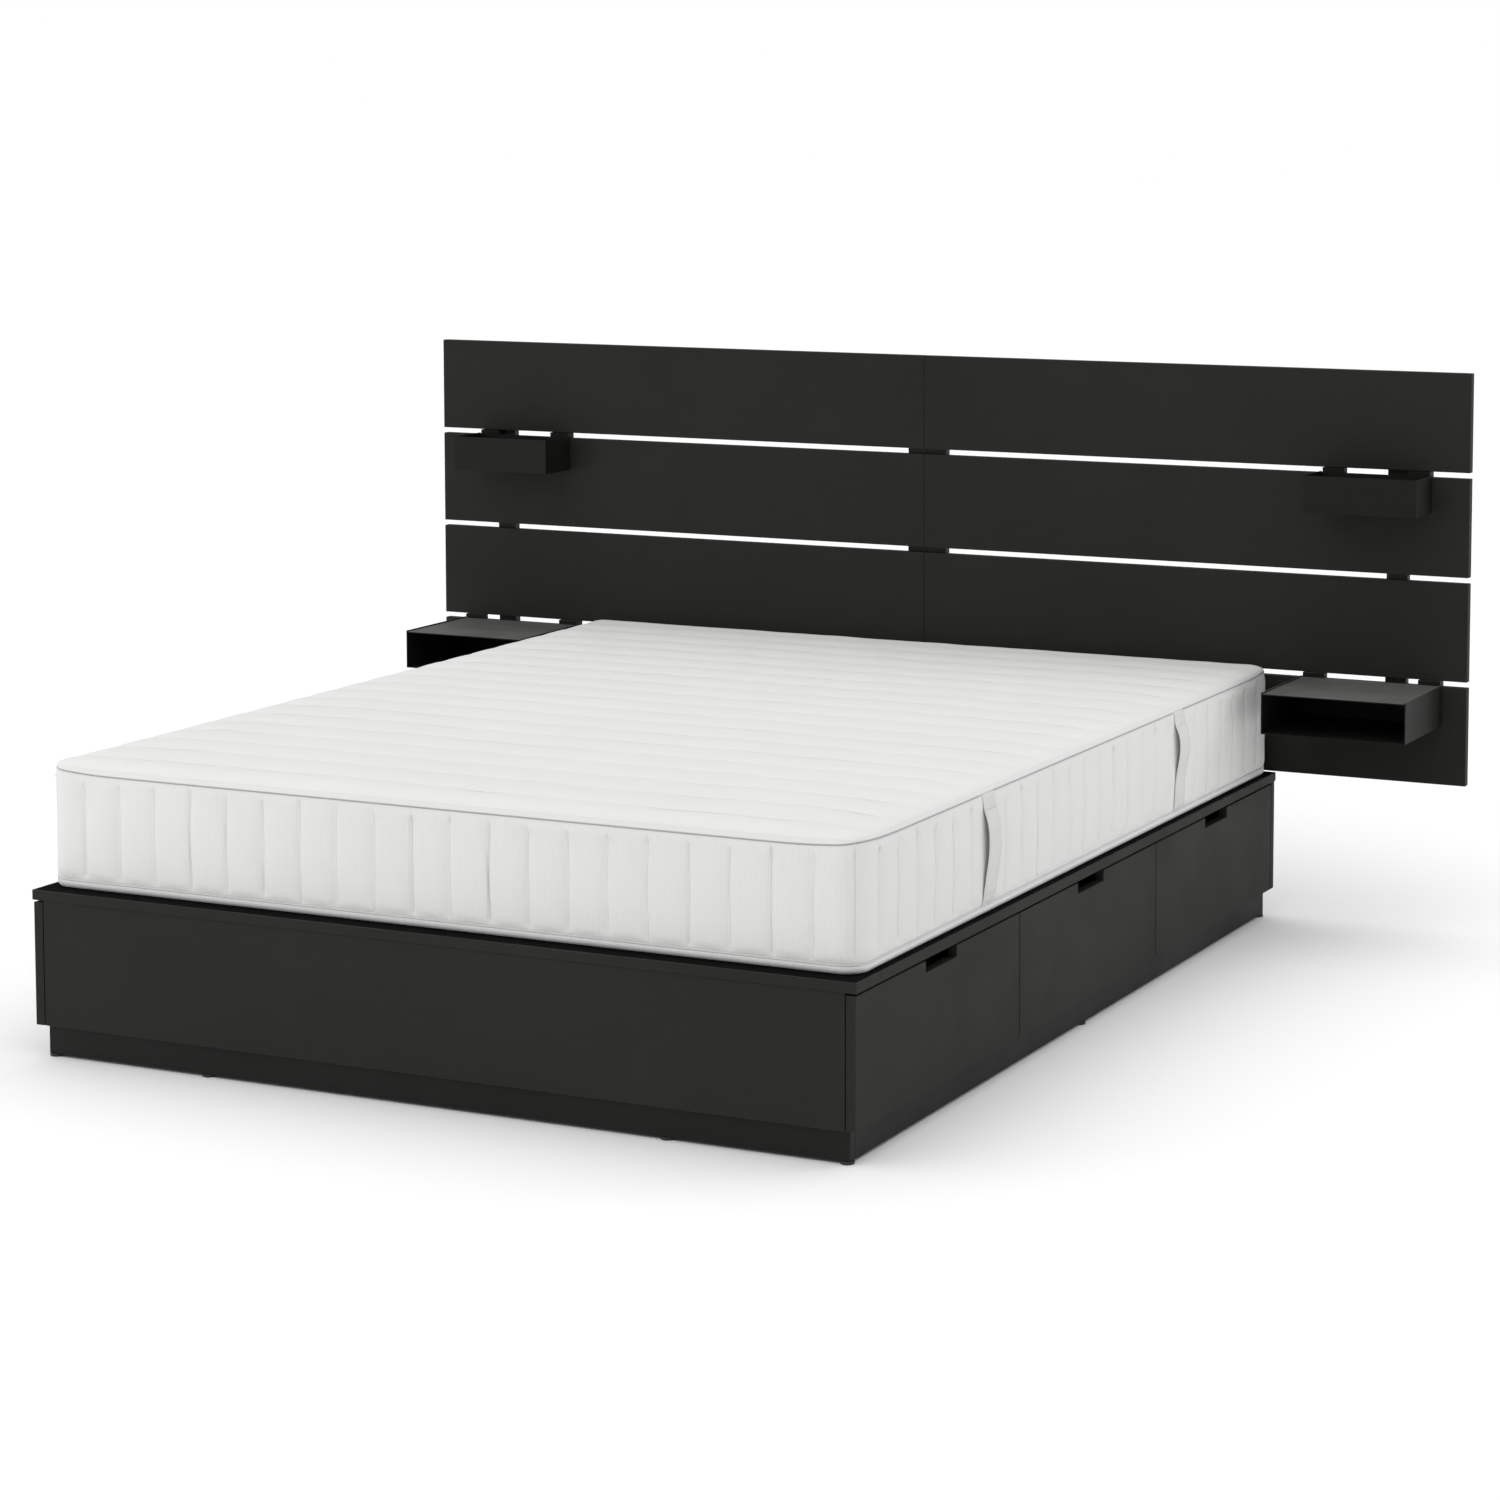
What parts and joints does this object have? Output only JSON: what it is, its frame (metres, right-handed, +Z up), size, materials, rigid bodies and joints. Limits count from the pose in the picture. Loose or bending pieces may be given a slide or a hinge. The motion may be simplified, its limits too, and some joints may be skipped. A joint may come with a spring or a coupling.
{
  "type": "platform bed with storage drawers",
  "caption": "Low platform bed with drawers in both sides, a wide boarded headboard on upright rails, hook-on bedside shelves and small boxes, and a quilted mattress.",
  "frame": {"origin": "on the floor, under the middle of the whole bed with its headboard", "axes": "+X across the bed to the right as seen from the foot, +Y from the foot to the headboard, +Z up"},
  "size_m": [2.4, 2.07, 1.136],
  "materials": {
    "board_black": "satin",
    "plinth_black": "matte",
    "carcass_board": "matte",
    "rail_black": "matte",
    "slat_wood": "matte",
    "drawer_foil": "satin",
    "slide_steel": "satin",
    "sheet_black": "matte",
    "screw_steel": "satin",
    "glide_plastic": "matte",
    "mattress_cover": "matte"
  },
  "bodies": {
    "base": {"foot_panel": "board_black", "head_panel": "board_black", "rim_foot": "board_black", "rim_head": "board_black", "rim_left": "board_black", "rim_right": "board_black", "headboard_panel_left_1": "board_black", "headboard_panel_left_2": "board_black", "headboard_panel_left_3": "board_black", "headboard_panel_left_4": "board_black", "headboard_panel_right_1": "board_black", "headboard_panel_right_2": "board_black", "headboard_panel_right_3": "board_black", "headboard_panel_right_4": "board_black", "plinth_foot": "plinth_black", "plinth_head": "plinth_black", "plinth_left": "plinth_black", "plinth_right": "plinth_black", "plinth_middle": "plinth_black", "centre_spine": "carcass_board", "head_liners": "carcass_board", "side_beam_left": "carcass_board", "side_beam_right": "carcass_board", "divider_left_1": "carcass_board", "divider_left_2": "carcass_board", "divider_right_1": "carcass_board", "divider_right_2": "carcass_board", "headboard_rail_left_inner": "rail_black", "headboard_rail_left_outer": "rail_black", "headboard_rail_right_inner": "rail_black", "headboard_rail_right_outer": "rail_black", "headboard_spacers": "rail_black", "slats": "slat_wood", "drawer_channels": "slide_steel", "glides": "glide_plastic", "headboard_screws": "screw_steel", "headboard_bolts": "screw_steel", "mattress": "mattress_cover"},
    "drawer_left_1": {"drawer_left_1_front": "board_black", "drawer_left_1_box": "drawer_foil", "drawer_left_1_slides": "slide_steel"},
    "drawer_left_2": {"drawer_left_2_front": "board_black", "drawer_left_2_box": "drawer_foil", "drawer_left_2_slides": "slide_steel"},
    "drawer_left_3": {"drawer_left_3_front": "board_black", "drawer_left_3_box": "drawer_foil", "drawer_left_3_slides": "slide_steel"},
    "drawer_right_1": {"drawer_right_1_front": "board_black", "drawer_right_1_box": "drawer_foil", "drawer_right_1_slides": "slide_steel"},
    "drawer_right_2": {"drawer_right_2_front": "board_black", "drawer_right_2_box": "drawer_foil", "drawer_right_2_slides": "slide_steel"},
    "drawer_right_3": {"drawer_right_3_front": "board_black", "drawer_right_3_box": "drawer_foil", "drawer_right_3_slides": "slide_steel"},
    "shelf_left": {"bedside_shelf_left": "sheet_black"},
    "shelf_right": {"bedside_shelf_right": "sheet_black"},
    "upper_box_left": {"upper_box_left": "sheet_black"},
    "upper_box_right": {"upper_box_right": "sheet_black"}
  },
  "joints": [
    {"name": "drawer_left_1_pull", "type": "slide", "parent": "base", "child": "drawer_left_1", "axis": [-1, 0, 0], "range_m": [0, 0.48]},
    {"name": "drawer_left_2_pull", "type": "slide", "parent": "base", "child": "drawer_left_2", "axis": [-1, 0, 0], "range_m": [0, 0.48]},
    {"name": "drawer_left_3_pull", "type": "slide", "parent": "base", "child": "drawer_left_3", "axis": [-1, 0, 0], "range_m": [0, 0.48]},
    {"name": "drawer_right_1_pull", "type": "slide", "parent": "base", "child": "drawer_right_1", "axis": [1, 0, 0], "range_m": [0, 0.48]},
    {"name": "drawer_right_2_pull", "type": "slide", "parent": "base", "child": "drawer_right_2", "axis": [1, 0, 0], "range_m": [0, 0.48]},
    {"name": "drawer_right_3_pull", "type": "slide", "parent": "base", "child": "drawer_right_3", "axis": [1, 0, 0], "range_m": [0, 0.48]},
    {"name": "shelf_left_shift", "type": "slide", "parent": "base", "child": "shelf_left", "axis": [1, 0, 0], "range_m": [-0.05, 0.04]},
    {"name": "shelf_right_shift", "type": "slide", "parent": "base", "child": "shelf_right", "axis": [1, 0, 0], "range_m": [-0.04, 0.05]},
    {"name": "upper_box_left_shift", "type": "slide", "parent": "base", "child": "upper_box_left", "axis": [1, 0, 0], "range_m": [-0.09, 0.005]},
    {"name": "upper_box_right_shift", "type": "slide", "parent": "base", "child": "upper_box_right", "axis": [1, 0, 0], "range_m": [-0.02, 0.07]}
  ]
}
